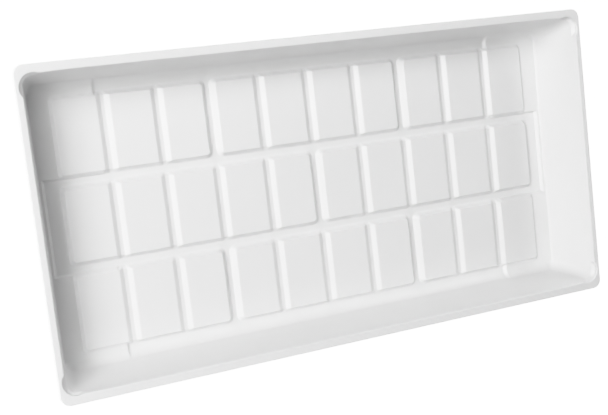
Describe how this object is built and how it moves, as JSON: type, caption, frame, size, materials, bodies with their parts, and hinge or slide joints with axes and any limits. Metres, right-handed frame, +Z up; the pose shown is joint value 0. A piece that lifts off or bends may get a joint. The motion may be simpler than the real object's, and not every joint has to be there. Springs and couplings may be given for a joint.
{
  "type": "propagation tray",
  "caption": "White thermoformed seedling tray with a turned-down rim, sloping walls and raised grooved pads on a channelled floor, the base under a humidity dome.",
  "frame": {"origin": "centre of the underside, on the surface the tray stands on", "axes": "+X along the length, +Y across the width to the back side, +Z up"},
  "size_m": [0.546, 0.279, 0.06],
  "materials": {
    "tray_sheet": "glossy white vacuum-formed sheet"
  },
  "bodies": {
    "root": {"back_centre_block": "tray_sheet", "back_gutter": "tray_sheet", "back_left_block": "tray_sheet", "back_left_corner_post": "tray_sheet", "back_left_cross_channel": "tray_sheet", "back_long_channel": "tray_sheet", "back_right_block": "tray_sheet", "back_right_corner_post": "tray_sheet", "back_right_cross_channel": "tray_sheet", "back_rim": "tray_sheet", "back_wall": "tray_sheet", "front_centre_block": "tray_sheet", "front_gutter": "tray_sheet", "front_left_block": "tray_sheet", "front_left_corner_post": "tray_sheet", "front_left_cross_channel": "tray_sheet", "front_long_channel": "tray_sheet", "front_right_block": "tray_sheet", "front_right_corner_post": "tray_sheet", "front_right_cross_channel": "tray_sheet", "front_rim": "tray_sheet", "front_wall": "tray_sheet", "left_gutter": "tray_sheet", "left_rim": "tray_sheet", "left_wall": "tray_sheet", "middle_cross_channel": "tray_sheet", "middle_left_block": "tray_sheet", "middle_right_block": "tray_sheet", "right_gutter": "tray_sheet", "right_rim": "tray_sheet", "right_wall": "tray_sheet"}
  },
  "joints": []
}
